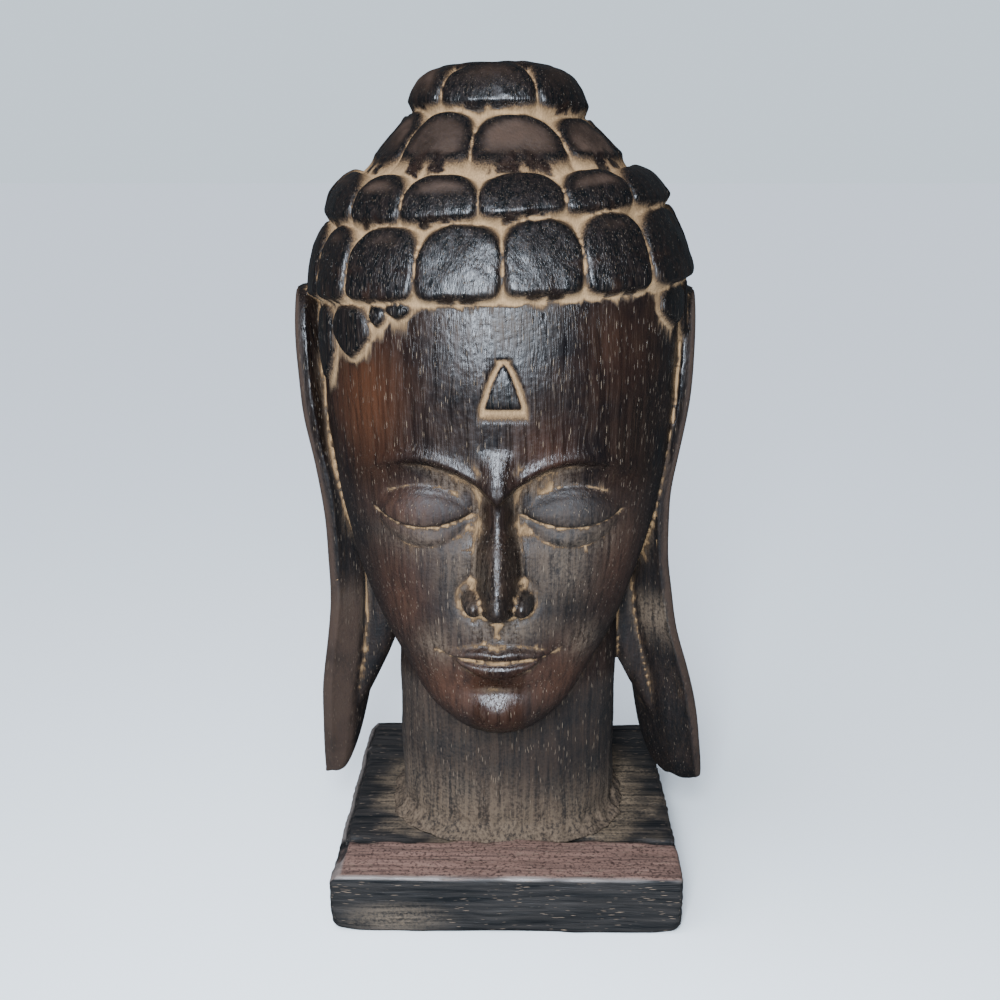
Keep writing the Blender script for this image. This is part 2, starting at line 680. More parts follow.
def carve_ear(ear):
    """Long ear with a hollow down its outer side and a thinner front edge."""
    mesh, turns, tilts = ball_mesh(96, 220)
    centre, thick, deep, twist = ear_section(tilts / math.pi, ear)
    out, along = rounded(turns, EAR_SQUARENESS)
    rise = (centre[:, 2] - EAR_TIP_Z) / EAR_LENGTH
    hollow = hill(along / 0.62) * ramp((rise - 0.56) / 0.10) * ramp((0.93 - rise) / 0.08)
    outer = ramp(out * ear.side)
    inner = ramp(-out * ear.side)
    bevel = EAR_FRONT_THINNING * 2 * thick * inner * ramp((-along - 0.1) / 0.9)
    x = out * thick - ear.side * outer * hollow * 0.0022 + ear.side * bevel
    y = along * deep
    points = centre.copy()
    points[:, 0] += x * np.cos(twist) - y * np.sin(twist)
    points[:, 1] += x * np.sin(twist) + y * np.cos(twist)
    points[:, 2] -= EAR_TIP_SLANT * (y + deep) * np.clip(1 - rise / EAR_TAPER_SHARE, 0, 1)
    write_points(mesh, points)
    return mesh


def carve_ear_root(ear):
    """Web of wood from the ear to the side of the head, sloping off towards the lobe."""
    mesh, turns, tilts = ball_mesh(60, 60)
    rise = (1 - np.cos(tilts)) / 2
    centre = ear_section(EAR_ROOT_FOOT + (EAR_ROOT_TOP - EAR_ROOT_FOOT) * rise, ear)[0]
    outer = abs(centre[:, 0] - HEAD_SHIFT)
    closing = np.sin(tilts) ** EAR_ROOT_FLATNESS
    reach = (outer - SKULL_WIDTH / 2 * EAR_ROOT_START) * closing
    reach = reach * np.clip(rise / EAR_ROOT_SLOPE, 0.02, 1) ** 1.2
    across, along = rounded(turns, EAR_ROOT_SQUARENESS)
    x = HEAD_SHIFT + ear.side * (outer - reach / 2) + across * reach / 2
    y = EAR_ROOT_SET_BACK + along * EAR_LOBE_DEPTH / 2 * EAR_ROOT_DEPTH * closing
    write_points(mesh, np.stack([x, y, centre[:, 2]], axis=1))
    return mesh


def stand_up(name, thing, place=(0.0, 0.0, 0.0), turn=(0.0, 0.0, 0.0)):
    """Put a mesh, a lamp or a camera in the scene."""
    stand = bpy.data.objects.new(name, thing)
    stand.location = place
    stand.rotation_euler = turn
    bpy.context.scene.collection.objects.link(stand)
    return stand


def join_meshes(name, meshes):
    """One object from several meshes, still overlapping."""
    bm = bmesh.new()
    for mesh in meshes:
        bm.from_mesh(mesh)
        bpy.data.meshes.remove(mesh)
    whole = bpy.data.meshes.new(name)
    bm.to_mesh(whole)
    bm.free()
    return stand_up(name, whole)


def apply_modifiers(piece):
    """Make the modifiers' result the piece's own mesh."""
    graph = bpy.context.evaluated_depsgraph_get()
    graph.update()
    finished = bpy.data.meshes.new_from_object(piece.evaluated_get(graph))
    old = piece.data
    finished.name = piece.name
    piece.modifiers.clear()
    piece.data = finished
    bpy.data.meshes.remove(old)


def one_skin(piece, grid):
    skin = piece.modifiers.new("one_skin", "REMESH")
    skin.mode = "VOXEL"
    skin.voxel_size = grid
    apply_modifiers(piece)


def fewer_facets(piece, triangles):
    """Leave out the facets that flat stretches don't need."""
    thin = piece.modifiers.new("fewer_facets", "DECIMATE")
    thin.ratio = min(1.0, triangles / (2 * len(piece.data.polygons)))
    apply_modifiers(piece)


def edge_pairs(mesh):
    pairs = np.empty(len(mesh.edges) * 2, np.int32)
    mesh.edges.foreach_get("vertices", pairs)
    return pairs.reshape(-1, 2)


def eased(points, pairs, passes):
    """Points after this many passes of evening out with their neighbours."""
    count = len(points)
    first, second = pairs.T
    share = np.bincount(first, minlength=count) + np.bincount(second, minlength=count)
    for _ in range(passes):
        total = np.empty_like(points)
        for axis in range(points.shape[1]):
            total[:, axis] = np.bincount(first, points[second, axis], count)
            total[:, axis] += np.bincount(second, points[first, axis], count)
        points = 0.5 * points + 0.5 * total / np.maximum(share, 1)[:, None]
    return points


def store(mesh, name, values):
    layer = mesh.attributes.new(name, "FLOAT", "POINT")
    layer.data.foreach_set("value", values.astype(np.float32))


def work_by_hand(points, normals):
    """Move each vertex in or out by the unevenness of the carving."""
    height = points[:, 2]
    hair = fade(height, HAIRLINE_Z - 0.002, HAIRLINE_Z + 0.002)
    neck = neck_share(points)
    foot = fade(height, BASE_TOP + 0.014, BASE_TOP + 0.002)
    move = BROAD_CUTS.at(points) + FINE_CUTS.at(points)
    move += HAMMERING.at(points) * np.maximum(hair, 0.4 * neck)
    move += NECK_FLUTES.at(points) * neck
    move += (DUST_LUMPS.at(points) + DUST_CRUMBS.at(points)) * foot
    return points + normals * move[:, None]


def neck_share(points):
    """1 on the neck below the chin and the jaw, 0 elsewhere."""
    side, front = NECK_WIDTH / 2, -NECK_DEPTH / 2
    inside = fade(abs(points[:, 0]), side + 0.008, side + 0.005)
    below_jaw = fade(points[:, 2], CHIN_Z + 0.016, CHIN_Z + 0.006)
    behind_chin = fade(points[:, 1], front - 0.004, front)
    below_chin = fade(points[:, 2], CHIN_Z - 0.002, CHIN_Z - 0.006)
    return inside * below_jaw * np.maximum(behind_chin, below_chin)


def nearest_marks(points, marks):
    """The marks nearest to each point, evened out over four of them, and how far away."""
    near = KDTree(len(marks))
    for index, mark in enumerate(marks[:, :3]):
        near.insert(mark, index)
    near.balance()
    found = np.array([[hit[1:] for hit in near.find_n(point, 4)] for point in points])
    index, away = found[..., 0].astype(int), found[..., 1]
    weight = 1 / (away + 0.0001)
    weight /= weight.sum(axis=1)[:, None]
    values = (marks[index, 3:] * weight[..., None]).sum(axis=1)
    return (*values.T, away[:, 0])


# Where the face's polish is worn to warm brown, and where lime dust stays on it: place
# across and height, spread across and up, in metres, and how strong it is.
WARM_WEAR = (
    (-0.047, 0.196, 0.013, 0.022, 1.0),
    (-0.034, 0.160, 0.016, 0.010, 0.5),
    (-0.036, 0.128, 0.010, 0.020, 0.7),
    (0.040, 0.135, 0.010, 0.024, 0.7),
    (0.012, 0.181, 0.010, 0.010, 0.5),
    (-0.018, 0.097, 0.015, 0.013, 0.95),
    (0.018, 0.099, 0.016, 0.014, 0.95),
    (0.000, 0.090, 0.016, 0.010, 0.5),
    (0.035, 0.212, 0.012, 0.014, 0.25),
)
LIME_DUST = (
    (-0.014, 0.141, 0.010, 0.012, 0.4),
    (0.017, 0.143, 0.012, 0.014, 0.5),
    (0.027, 0.150, 0.012, 0.008, 0.4),
    (-0.030, 0.150, 0.014, 0.006, 0.35),
    (0.000, 0.120, 0.016, 0.005, 0.6),
    (-0.024, 0.112, 0.006, 0.007, 0.6),
    (0.026, 0.112, 0.006, 0.007, 0.6),
    (0.000, 0.222, 0.014, 0.008, 0.25),
)


def patches(points, table):
    """How strongly the front is covered by these soft patches, 0 to 1."""
    front = ramp(-points[:, 1] / 0.02)
    cover = np.zeros(len(points))
    for x, z, wide, high, strength in table:
        here = strength * swell(points[:, 0] - x, points[:, 2] - z, wide, high)
        cover = np.maximum(cover, here)
    return cover * front


# Distances, depths and heights that bound the marks of the finish, in metres: first where
# a mark is gone, then where it is full
HAIR_REACH = (0.0018, 0.0010)
LIME_REACH = (0.0014, 0.0008)
EAR_REACH = (0.0014, 0.0006)
LIME_DROP = (0.0001, 0.0043)
GROOVE_DEPTH = (0.00006, 0.00030)
HOLLOW_DEPTH = (0.00015, 0.00095)
WEB_TOP = (0.118, 0.106)
WEB_FOOT = (0.088, 0.106)
CRUST_TOP = (BASE_TOP + 0.034, BASE_TOP + 0.004)
RUBBED_TOP = (0.172, 0.160)

# The same as shares: how far an ear's skin faces outwards, how far outside the forehead's
# boss, and how far beside the nose in eye widths
EAR_OUTWARDS = (0.20, 0.45)
BOSS_EDGE = (0.04, -0.02)
GROOVE_START = (0.04, 0.12)
GROOVE_END = (1.05, 0.25)
NOSE_BESIDE = (0.45, 0.30)

# Passes of evening out that find narrow grooves and broad hollows
GROOVE_PASSES = 6
HOLLOW_PASSES = 40

# The left lobe's brown facet lies outside this line, which leans outwards going down
LOBE_FACET_X = -0.0560
LOBE_FACET_LEAN = -0.10
LOBE_FACET_Z = 0.105
LOBE_FACET_EDGE = 0.0012


def ear_finish(points, normals, ear):
    """The ears' rubbed outer sides, and the dusty webs behind the jaw."""
    outwards = normals[:, 0] * np.sign(points[:, 0] - HEAD_SHIFT)
    edge = LOBE_FACET_X + LOBE_FACET_LEAN * (LOBE_FACET_Z - points[:, 2])
    facet = fade(points[:, 0], edge, edge - LOBE_FACET_EDGE)
    facet = facet * fade(points[:, 2], LOBE_FACET_Z + 0.02, LOBE_FACET_Z)
    outer = ear * np.maximum(fade(outwards, *EAR_OUTWARDS), facet)
    web = ear * fade(points[:, 2], *WEB_TOP) * fade(points[:, 2], *WEB_FOOT)
    return outer, web


def ornament_finish(points):
    """The boss on the forehead, and the groove round it."""
    beside = abs(points[:, 0] - HEAD_SHIFT - ORNAMENT_SHIFT) / EYE_WIDTH
    beyond = beyond_ornament(beside, (points[:, 2] - CHIN_Z) / EYE_WIDTH)
    front = points[:, 1] < -SKULL_DEPTH / 4
    boss = front * fade(beyond, *BOSS_EDGE)
    round_boss = front * fade(beyond, *GROOVE_START) * fade(beyond, *GROOVE_END)
    return boss, round_boss


def neck_crust(points, neck):
    """Dust on the neck: thick at its foot, and thinner higher up and to the right."""
    crust = neck * (0.20 + 0.75 * fade(points[:, 2], *CRUST_TOP))
    right = fade(points[:, 0], -0.016, 0.024)
    return crust * (0.9 - 0.6 * right * fade(points[:, 2], BASE_TOP, BASE_TOP + 0.03))


def mark_finish(mesh, curl_marks, ear_marks):
    """Store what the wood's finish needs to know at each vertex."""
    points, normals = read_points(mesh), read_normals(mesh)
    pairs = edge_pairs(mesh)
    groove, hollow = (
        ((eased(points, pairs, passes) - points) * normals).sum(axis=1)
        for passes in (GROOVE_PASSES, HOLLOW_PASSES)
    )
    worn, drop, away = nearest_marks(points, curl_marks)
    neck = neck_share(points)
    hair = fade(away, *HAIR_REACH)
    lime = fade(drop, *LIME_DROP) * fade(away, *LIME_REACH)
    lime = np.maximum(lime, fade(groove, *GROOVE_DEPTH) * (1 - neck))
    ear = fade(nearest_marks(points, ear_marks)[-1], *EAR_REACH) * (1 - hair)
    outer, web = ear_finish(points, normals, ear)
    boss, round_boss = ornament_finish(points)
    dust = np.maximum(patches(points, LIME_DUST), 0.7 * fade(hollow, *HOLLOW_DEPTH))
    dust = np.maximum(dust, neck_crust(points, neck))
    dust = np.maximum(dust, 0.8 * web * (1 - outer))
    nose = fade(abs(points[:, 0] - HEAD_SHIFT) / EYE_WIDTH, *NOSE_BESIDE)
    rubbed = 0.55 * fade(points[:, 2], *RUBBED_TOP) * (1 - nose)
    store(mesh, "black", np.maximum(np.maximum(hair, boss), 0.45 * (ear - outer)))
    store(mesh, "worn", np.maximum(worn * hair, 0.8 * outer))
    store(mesh, "lime", np.maximum(lime, 0.9 * round_boss) * (1 - boss))
    store(mesh, "dust", dust * (1 - boss))
    store(mesh, "warm", patches(points, WARM_WEAR))
    store(mesh, "matt", np.maximum(np.maximum(outer, neck), rubbed * (1 - hair)))


def make_head():
    curls = carve_curls()
    ears = [carve_ear(ear) for ear in EARS.values()]
    forms = [carve_skull(), carve_crown_pad(), carve_neck(), *ears]
    forms += [carve_ear_root(ear) for ear in EARS.values()]
    curl_marks = np.concatenate([marks for _, marks in curls])
    ear_marks = np.concatenate([read_points(ear) for ear in ears])
    piece = join_meshes("carved_wooden_head", forms + [mesh for mesh, _ in curls])
    one_skin(piece, CARVING_GRID)
    mesh = piece.data
    write_points(mesh, work_by_hand(read_points(mesh), read_normals(mesh)))
    fewer_facets(piece, HEAD_TRIANGLES)
    mesh = piece.data
    mesh.shade_smooth()
    mark_finish(mesh, curl_marks, ear_marks)
    return piece


BASE_LIP_WIDTH = 0.023
BASE_LIP_BOW = 0.0012
BASE_LIP_BOW_LENGTH = 0.019
BASE_STEP_DEPTH = 0.0016
BASE_STEP_RUN = 0.0014
BASE_CUT_DEPTH = 0.0016
BASE_CUT_SET_BACK = 0.0034
BASE_CUT_HALF = 0.0030
BASE_EDGE_ROUND = 0.0013
BASE_LEAST_ROUND = 0.0008
BASE_FOOT_ROUND = 0.0024
BASE_FOOT_ROUND_REACH = 0.012
BASE_SIDE_CHAMFER = 0.0036
FACES_STRAIGHT = 0.7


def beyond_lip(points):
    """How far behind the wavering line at the lip's back."""
    bow = BASE_LIP_BOW * np.sin(points[:, 0] / BASE_LIP_BOW_LENGTH + 0.8)
    return points[:, 1] - (BASE_LIP_WIDTH - BASE_DEPTH / 2 + bow) - LIP_WAVER.at(points)


def scored(points, behind):
    """The scored line there, deep towards both ends and faint in the middle."""
    depth = ramp(0.55 + SCORE_BREAKS.at(points)) * ramp(abs(points[:, 0]) / 0.03 + 0.25)
    return hill((behind - BASE_CUT_SET_BACK) / BASE_CUT_HALF) * depth


def make_base():
    """Board with rubbed edges, cut down a step and scored behind its front lip."""
    size = base_high - base_low
    bm = bmesh.new()
    bmesh.ops.create_cube(bm, size=1.0)
    bmesh.ops.scale(bm, vec=size, verts=bm.verts)
    bmesh.ops.translate(bm, vec=(base_high + base_low) / 2, verts=bm.verts)
    whole = bpy.data.meshes.new("wooden_base_board")
    bm.to_mesh(whole)
    bm.free()
    piece = stand_up("wooden_base_board", whole)
    one_skin(piece, BASE_GRID)
    mesh = piece.data
    points, normals = read_points(mesh), read_normals(mesh)
    centre = np.array((base_high + base_low) / 2)
    half = np.array(size) / 2
    local = points - centre
    top = normals[:, 2] > FACES_STRAIGHT
    underside = normals[:, 2] < -FACES_STRAIGHT
    corner = fade(abs(local[:, 0]), half[0] - BASE_FOOT_ROUND_REACH, half[0])
    corner = corner * ramp(-local[:, 2] / half[2])
    radius = BASE_EDGE_ROUND + EDGE_WEAR.at(points) + BASE_FOOT_ROUND * corner
    radius = np.maximum(radius, BASE_LEAST_ROUND)[:, None]
    inner = np.clip(local, radius - half, half - radius)
    offset = local - inner
    length = np.linalg.norm(offset, axis=1)[:, None]
    local = inner + offset * np.minimum(1, radius / np.maximum(length, 1e-9))
    slant = (local[:, 2] - local[:, 0]) / math.sqrt(2)
    limit = (half[0] + half[2] - BASE_SIDE_CHAMFER) / math.sqrt(2)
    over = np.maximum(slant - limit - CHAMFER_WAVER.at(points), 0) / math.sqrt(2)
    local[:, 0] += over
    local[:, 2] -= over
    behind = beyond_lip(points)
    step = BASE_STEP_DEPTH * ramp(behind / BASE_STEP_RUN)
    local[:, 2] -= (step + BASE_CUT_DEPTH * scored(points, behind)) * top
    rough = GRAIN_RIDGES.at(points) + GRAIN_LINES.at(points) + BOARD_HOLLOWS.at(points)
    local += normals * (rough * ~underside)[:, None]
    local[:, 2] = np.maximum(local[:, 2], -half[2])
    write_points(mesh, local + centre)
    fewer_facets(piece, BASE_TRIANGLES)
    mesh = piece.data
    mesh.shade_smooth()
    mark_base(mesh)
    return piece


# Where dust was swept up round the neck, as shares of the neck's outline, and where it
# smeared the front: place and spread across and up, in metres
SWEPT_REACH = (1.50, 0.95)
SMEAR_PLACE = (-0.040, 0.006)
SMEAR_SPREAD = (0.026, 0.009)

# How close to an edge the rubbed rim and the chamfer begin, and where they are full
FRONT_RIM = (0.0016 - BASE_DEPTH / 2, 0.0008 - BASE_DEPTH / 2)
TOP_RIM = (BASE_TOP - 0.0012, BASE_TOP - 0.0006)
TOP_SURFACE = (BASE_TOP - 0.004, BASE_TOP - 0.002)
CHAMFER_EDGE = (-0.0008, -0.0004)


def mark_base(mesh):
    """Store where the board is dusty, scraped, rubbed and cut."""
    points, normals = read_points(mesh), read_normals(mesh)
    across = abs(points[:, 0]) / (NECK_WIDTH / 2)
    along = abs(points[:, 1] - NECK_SET_BACK) / (NECK_DEPTH / 2)
    reach = (across**NECK_SQUARENESS + along**NECK_SQUARENESS) ** (1 / NECK_SQUARENESS)
    top = fade(points[:, 2], *TOP_SURFACE) * fade(normals[:, 2], 0.6, 0.9)
    behind = beyond_lip(points)
    back = fade(behind, -0.001, 0.001)
    reach -= BROAD_SWEEPS.at(points) + FINE_SWEEPS.at(points) + 0.2 * points[:, 0] / BASE_WIDTH
    swept = fade(reach, *SWEPT_REACH) * top * back
    beside, above = (points[:, [0, 2]] - SMEAR_PLACE).T / np.array(SMEAR_SPREAD)[:, None]
    smear = hill(np.hypot(beside, above)) * fade(-normals[:, 1], 0.7, 0.9)
    store(mesh, "dust", np.maximum(swept, 0.5 * smear))
    store(mesh, "lip", top * (1 - back))
    rim = fade(points[:, 1], *FRONT_RIM) * fade(points[:, 2], *TOP_RIM)
    rim = rim * ramp(0.7 + RIM_BREAKS.at(points))
    slant = points[:, 2] - points[:, 0] - BASE_TOP - BASE_WIDTH / 2 + BASE_SIDE_CHAMFER
    chamfer = fade(slant, *CHAMFER_EDGE) * fade(normals[:, 1], -0.6, -0.3)
    store(mesh, "edge", np.maximum(rim, 0.6 * chamfer))
    store(mesh, "cut", scored(points, behind) * fade(normals[:, 2], 0.3, 0.6))


def linear(hex_colour):
    """An sRGB hex colour as linear RGBA."""
    parts = [int(hex_colour[place : place + 2], 16) / 255 for place in (1, 3, 5)]
    parts = [p / 12.92 if p <= 0.04045 else ((p + 0.055) / 1.055) ** 2.4 for p in parts]
    return (*parts, 1.0)


def add_node(tree, kind, inputs=(), output=0, **settings):
    """Add a node and return one output; inputs pairs a socket with a value or an output."""
    node = tree.nodes.new(kind)
    for name, value in settings.items():
        setattr(node, name, value)
    for socket, value in dict(inputs).items():
        if isinstance(value, bpy.types.NodeSocket):
            tree.links.new(value, node.inputs[socket])
        else:
            node.inputs[socket].default_value = value
    return node.outputs[output]


def new_material(name, **constants):
    """A Principled material with these values on the shader's own sockets."""
    material = bpy.data.materials.new(name)
    material.use_nodes = True
    shader = material.node_tree.nodes["Principled BSDF"]
    for socket, value in constants.items():
        shader.inputs[socket.replace("_", " ")].default_value = value
    return material, material.node_tree, shader


# Real sizes of the wood's figure in metres: across the grain and along it
PORE_SPACING = (0.00050, 0.0060)
STREAK_SIZE = (0.0014, 0.040)
FIBRE_SIZE = (0.0004, 0.008)

# Sizes without a direction: blotches of colour, hammered unevenness and dust
BLOTCH_SIZE = 0.016
DENT_SIZE = 0.0022
CRUMB_SIZE = 0.0011
GRAIN_BEND = 0.0016
GRAIN_BEND_SIZE = 0.020

# The widest pore as a share of its cell, and how crisp its edge is
PORE_REACH = 0.27
PORE_SHARPNESS = 12.0

# What a table of shares gives in turn: a pattern, where on it the share starts and where
# it is full, and the least and the most that it then shows
SHARE_SOCKETS = ("Value", "From Min", "From Max", "To Min", "To Max")

WAX_IOR = 1.45
CARVED_RELIEF = 0.00022
SAWN_RELIEF = 0.00025


def wood_figure(tree, place, grain_axis):
    """Open pores, streaks and fibre of a coarse tropical hardwood, and dust in them."""
    wander = {"Vector": place, "Scale": 1 / GRAIN_BEND_SIZE, "Detail": 1.0}
    drift = add_node(tree, "ShaderNodeTexNoise", wander, "Color")
    bend = {0: drift, 1: (GRAIN_BEND,) * 3, 2: place}
    bent = add_node(tree, "ShaderNodeVectorMath", bend, operation="MULTIPLY_ADD")
    cells = []
    for across, along in (PORE_SPACING, STREAK_SIZE, FIBRE_SIZE):
        scale = [1 / across] * 3
        scale[grain_axis] = 1 / along
        cells.append(add_node(tree, "ShaderNodeMapping", {"Vector": bent, "Scale": scale}))
    pore_cells, streak_cells, fibre_cells = cells
    away = add_node(tree, "ShaderNodeTexVoronoi", {"Vector": pore_cells, "Scale": 1.0}, "Distance")
    sizes = (away.node.outputs["Color"], 0.26, 0.80, 0.0, PORE_REACH)
    reach = add_node(tree, "ShaderNodeMapRange", zip(SHARE_SOCKETS, sizes))
    inside = add_node(tree, "ShaderNodeMath", {0: reach, 1: away}, operation="SUBTRACT")
    crisp = {0: inside, 1: PORE_SHARPNESS}
    pores = add_node(tree, "ShaderNodeMath", crisp, operation="MULTIPLY", use_clamp=True)
    streaky = {"Vector": streak_cells, "Scale": 1.0, "Detail": 4.0, "Roughness": 0.6}
    streaks = add_node(tree, "ShaderNodeTexNoise", streaky)
    hairy = {"Vector": fibre_cells, "Scale": 1.0, "Detail": 2.0}
    fibre = add_node(tree, "ShaderNodeTexNoise", hairy)
    crumbly = {"Vector": place, "Scale": 1 / CRUMB_SIZE, "Detail": 4.0, "Roughness": 0.65}
    crumbs = add_node(tree, "ShaderNodeTexNoise", crumbly)
    mottle = add_node(tree, "ShaderNodeMath", {0: streaks, 1: crumbs}, operation="ADD")
    return pores, streaks, fibre, crumbs, mottle


def carved_hardwood():
    """Dark waxed hardwood, cut with gouges and rubbed with pale lime.

    Near-black polish on the curls, warm brown where hands wore it, pale dashes of lime
    in the open pores and tan lime left in every groove.
    """
    material, tree, shader = new_material(
        "dark_waxed_hardwood_gouge_carved_and_limed",
        Metallic=0.0,
        IOR=WAX_IOR,
        Specular_IOR_Level=0.42,
    )
    place = add_node(tree, "ShaderNodeTexCoord", output="Object")
    pores, streaks, fibre, crumbs, mottle = wood_figure(tree, place, 2)
    blotchy = {"Vector": place, "Scale": 1 / BLOTCH_SIZE, "Detail": 4.0, "Roughness": 0.6}
    blotches = add_node(tree, "ShaderNodeTexNoise", blotchy)
    dented = {"Vector": place, "Scale": 1 / DENT_SIZE, "Detail": 1.5}
    dents = add_node(tree, "ShaderNodeTexNoise", dented)
    marks = {}
    for name in ("black", "worn", "lime", "dust", "warm", "matt"):
        marks[name] = add_node(tree, "ShaderNodeAttribute", output="Fac", attribute_name=name)
    shares = {
        "brown": (streaks, 0.30, 0.72, 0.0, 1.0),
        "blotched": (blotches, 0.42, 0.64, 0.0, 1.0),
        "warm": (streaks, 0.25, 0.60, 0.25, 1.0),
        "greyed": (streaks, 0.40, 0.75, 0.0, 1.0),
        "pores": (marks["black"], 0.0, 1.0, 0.40, 0.26),
        "worn": (blotches, 0.30, 0.55, 0.30, 0.90),
        "dust": (mottle, 0.82, 1.12, 0.15, 1.0),
        "frayed": (fibre, 0.30, 0.70, -0.16, 0.16),
        "satin": (streaks, 0.30, 0.70, 0.20, 0.46),
    }
    for name, values in shares.items():
        shares[name] = add_node(tree, "ShaderNodeMapRange", zip(SHARE_SOCKETS, values))
    for name, where in {**marks, "pores": pores}.items():
        if name in shares:
            within = {0: where, 1: shares[name]}
            shares[name] = add_node(tree, "ShaderNodeMath", within, operation="MULTIPLY")

    # Lime: thin at the groove's frayed edge, then solid tan
    edge = {0: marks["lime"], 1: shares["frayed"]}
    frayed = add_node(tree, "ShaderNodeMath", edge, operation="ADD")
    lime, deep = (
        add_node(tree, "ShaderNodeMapRange", {"Value": frayed, "From Min": start, "From Max": full})
        for start, full in ((0.04, 0.40), (0.30, 1.15))
    )
    tans = {0: deep, 6: linear("#382817"), 7: linear("#8e7250")}
    tan = add_node(tree, "ShaderNodeMix", tans, 2, data_type="RGBA")
    blacks = {0: shares["greyed"], 6: linear("#070809"), 7: linear("#17100e")}
    black = add_node(tree, "ShaderNodeMix", blacks, 2, data_type="RGBA")

    # From the skin out: brown streaks, dark blotches, warm wear, the curls' black polish,
    # filled pores, reddish worn facets, a film of dust, and lime in the grooves
    tone = linear("#0e0a09")
    for share, colour in (
        (shares["brown"], linear("#21150f")),
        (shares["blotched"], linear("#060608")),
        (shares["warm"], linear("#3c2213")),
        (marks["black"], black),
        (shares["pores"], linear("#917f6a")),
        (shares["worn"], linear("#38291f")),
        (shares["dust"], linear("#5a4c3d")),
        (lime, tan),
    ):
        layer = {0: share, 6: tone, 7: colour}
        tone = add_node(tree, "ShaderNodeMix", layer, 2, data_type="RGBA")
    tree.links.new(tone, shader.inputs["Base Color"])

    # Gloss: satin wax, dull on lime, dust, worn facets and rubbed places
    dull = lime
    for more in (shares["dust"], shares["worn"], marks["matt"]):
        dull = add_node(tree, "ShaderNodeMath", {0: dull, 1: more}, operation="MAXIMUM")
    rough = {0: dull, 2: shares["satin"], 3: 0.92}
    tree.links.new(add_node(tree, "ShaderNodeMix", rough), shader.inputs["Roughness"])

    # Relief: hammered dents, scratches along the fibre, open pores and crumbs of dust
    grit = add_node(tree, "ShaderNodeMath", {0: crumbs, 1: dull}, operation="MULTIPLY")
    relief = dents
    for height, strength in ((fibre, 0.5), (pores, -0.7), (grit, 1.2)):
        raised = {0: height, 1: strength, 2: relief}
        relief = add_node(tree, "ShaderNodeMath", raised, operation="MULTIPLY_ADD")
    bumps = {"Height": relief, "Distance": CARVED_RELIEF, "Strength": 0.8}
    tree.links.new(add_node(tree, "ShaderNodeBump", bumps), shader.inputs["Normal"])
    return material


def base_hardwood():
    """The same hardwood sawn into a board, its grain left to right.

    Dark and open-grained, with a reddish scraped lip, edges rubbed bright and tan dust
    swept up against the neck.
    """
    material, tree, shader = new_material(
        "dark_waxed_hardwood_board_sawn_and_scraped",
        Metallic=0.0,
        IOR=WAX_IOR,
        Specular_IOR_Level=0.35,
    )
    place = add_node(tree, "ShaderNodeTexCoord", output="Object")
    pores, streaks, fibre, crumbs, mottle = wood_figure(tree, place, 0)
    marks = {}
    for name in ("dust", "lip", "edge", "cut"):
        marks[name] = add_node(tree, "ShaderNodeAttribute", output="Fac", attribute_name=name)
    shares = {
        "brown": (streaks, 0.34, 0.66, 0.0, 1.0),
        "scraped": (streaks, 0.36, 0.56, 0.45, 1.0),
        "pitted": (crumbs, 0.50, 0.38, 0.0, 0.8),
        "pores": (pores, 0.0, 1.0, 0.0, 0.6),
        "dust": (mottle, 0.82, 1.12, 0.15, 1.0),
        "satin": (marks["edge"], 0.0, 1.0, 0.52, 0.28),
    }
    for name, values in shares.items():
        shares[name] = add_node(tree, "ShaderNodeMapRange", zip(SHARE_SOCKETS, values))
    for name, mark in (("scraped", "lip"), ("pitted", "lip"), ("dust", "dust")):
        within = {0: marks[mark], 1: shares[name]}
        shares[name] = add_node(tree, "ShaderNodeMath", within, operation="MULTIPLY")

    # From the skin out: brown streaks, the scraped lip and its dark pits, filled pores, a
    # film of dust, rubbed edges and the scored line
    tone = linear("#0d0f11")
    for share, colour in (
        (shares["brown"], "#2a2725"),
        (shares["scraped"], "#6a5248"),
        (shares["pitted"], "#1d1412"),
        (shares["pores"], "#8b7763"),
        (shares["dust"], "#6f5f4c"),
        (marks["edge"], "#6d655f"),
        (marks["cut"], "#070606"),
    ):
        layer = {0: share, 6: tone, 7: linear(colour)}
        tone = add_node(tree, "ShaderNodeMix", layer, 2, data_type="RGBA")
    tree.links.new(tone, shader.inputs["Base Color"])

    # Gloss: satin wax, brighter on the rubbed edges and dull on dust and in the cut
    covered = {0: shares["dust"], 1: marks["cut"]}
    dull = add_node(tree, "ShaderNodeMath", covered, operation="MAXIMUM")
    rough = {0: dull, 2: shares["satin"], 3: 0.9}
    tree.links.new(add_node(tree, "ShaderNodeMix", rough), shader.inputs["Roughness"])

    # Relief: fibre, open pores and crumbs of dust
    grit = {0: crumbs, 1: shares["dust"]}
    grit = add_node(tree, "ShaderNodeMath", grit, operation="MULTIPLY")
    relief = fibre
    for height, strength in ((pores, -1.0), (grit, 1.5)):
        raised = {0: height, 1: strength, 2: relief}
        relief = add_node(tree, "ShaderNodeMath", raised, operation="MULTIPLY_ADD")
    bumps = {"Height": relief, "Distance": SAWN_RELIEF, "Strength": 0.8}
    tree.links.new(add_node(tree, "ShaderNodeBump", bumps), shader.inputs["Normal"])
    return material


# The camera as fitted to the board's edges in the photograph, in metres, millimetres of
# lens and degrees down and to the left
CAMERA_PLACE = (0.004, -0.3985, 0.266)
CAMERA_LENS = 39.6
CAMERA_SENSOR = 36.0
CAMERA_TILT = 16.56
CAMERA_TURN = 1.04

# How bright the room is for the wood and for the eye, and the two lamps' power
ROOM_LIGHT = 0.13
BACKDROP_LIGHT = 1.42
KEY_LIGHT = 7.0
DAY_LIGHT = 5.2

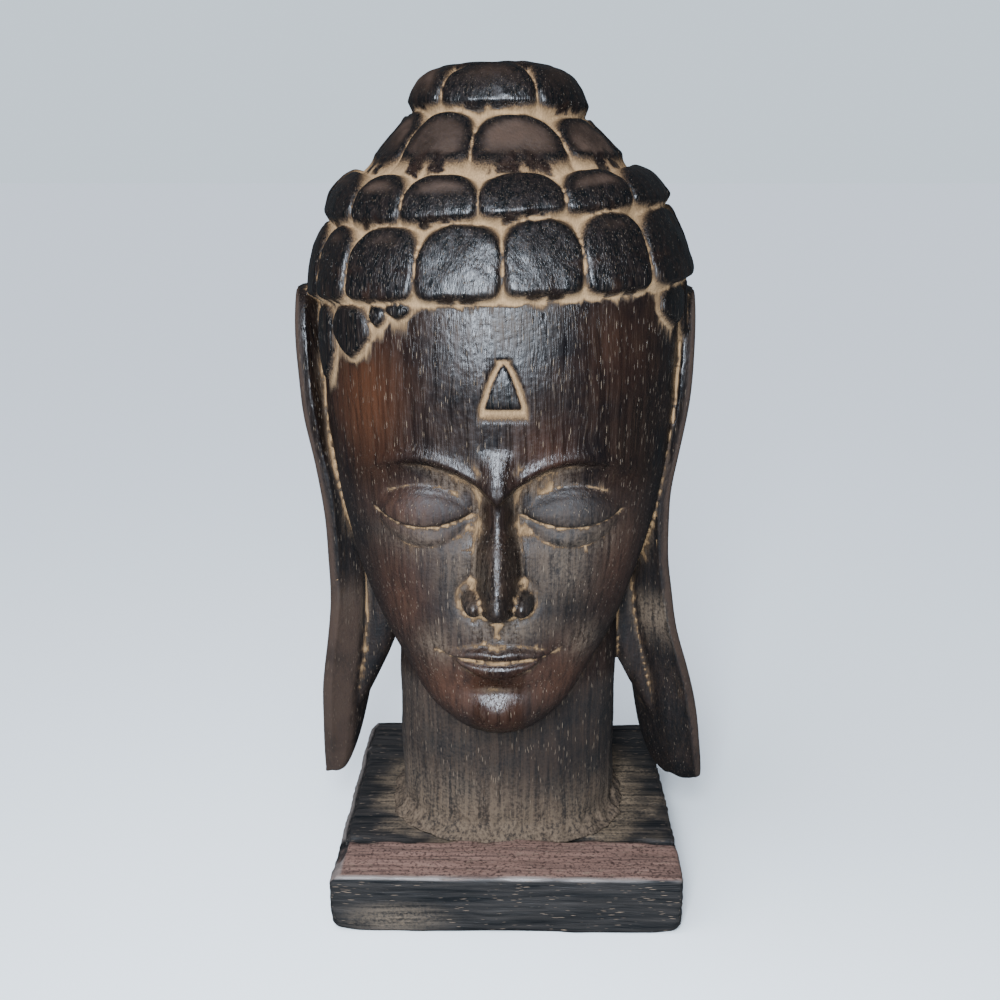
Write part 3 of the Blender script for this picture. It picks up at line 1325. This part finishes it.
# The upright soft box beside the camera, and the wide light from the upper left
KEY_PLACE = Vector((-0.035, -0.46, 0.32))
KEY_AIM = Vector((0.0, 0.0, 0.16))
KEY_WIDTH = 0.11
KEY_HEIGHT = 0.26
DAY_WAY = Vector((0.45, 0.45, -1.0))
DAY_SPREAD = 70

FLOOR_HALF = 30.0


def lay_floor():
    """Pale paper that runs out of view."""
    bm = bmesh.new()
    bmesh.ops.create_grid(bm, x_segments=2, y_segments=2, size=FLOOR_HALF)
    sheet = bpy.data.meshes.new("pale_floor")
    bm.to_mesh(sheet)
    bm.free()
    floor = stand_up("pale_floor", sheet)
    paper = new_material("matt_white_paper", Base_Color=linear("#f0f5f5"), Roughness=0.8)[0]
    floor.data.materials.append(paper)
    floor.visible_glossy = False


def light_room():
    """A plain pale room, bright to the eye and dim on the wood."""
    world = bpy.data.worlds.new("pale_studio")
    world.use_nodes = True
    backdrop = world.node_tree.nodes["Background"]
    backdrop.inputs["Color"].default_value = linear("#d0dfec")
    seen = add_node(world.node_tree, "ShaderNodeLightPath", output="Is Camera Ray")
    bright = {"Value": seen, "To Min": ROOM_LIGHT, "To Max": BACKDROP_LIGHT}
    level = add_node(world.node_tree, "ShaderNodeMapRange", bright)
    world.node_tree.links.new(level, backdrop.inputs["Strength"])
    bpy.context.scene.world = world


def set_camera():
    """The camera at the photograph's place."""
    camera = bpy.data.cameras.new("camera")
    camera.lens = CAMERA_LENS
    camera.sensor_width = CAMERA_SENSOR
    turn = (math.radians(90 - CAMERA_TILT), 0.0, math.radians(CAMERA_TURN))
    bpy.context.scene.camera = stand_up("camera", camera, CAMERA_PLACE, turn)


def set_lamps():
    """A soft box that draws the highlights, and wide daylight that fills the shades."""
    box = bpy.data.lights.new("soft_front_light", "AREA")
    box.shape = "RECTANGLE"
    box.size = KEY_WIDTH
    box.size_y = KEY_HEIGHT
    box.energy = KEY_LIGHT
    box.color = linear("#e6f1ff")[:3]
    turn = (KEY_AIM - KEY_PLACE).to_track_quat("-Z", "Y").to_euler()
    stand_up("soft_front_light", box, KEY_PLACE, turn)
    day = bpy.data.lights.new("soft_top_light", "SUN")
    day.energy = DAY_LIGHT
    day.angle = math.radians(DAY_SPREAD)
    day.color = linear("#e6eeff")[:3]
    turn = DAY_WAY.to_track_quat("-Z", "Y").to_euler()
    stand_up("soft_top_light", day, turn=turn).visible_glossy = False


def dress(piece, node, material):
    piece.data.materials.clear()
    piece.data.materials.append(material)
    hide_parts(node)
    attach(piece, "root")


lay_floor()
light_room()
set_camera()
set_lamps()
head = make_head()
dress(head, "carved_head", carved_hardwood())
base = make_base()
dress(base, "base_block", base_hardwood())
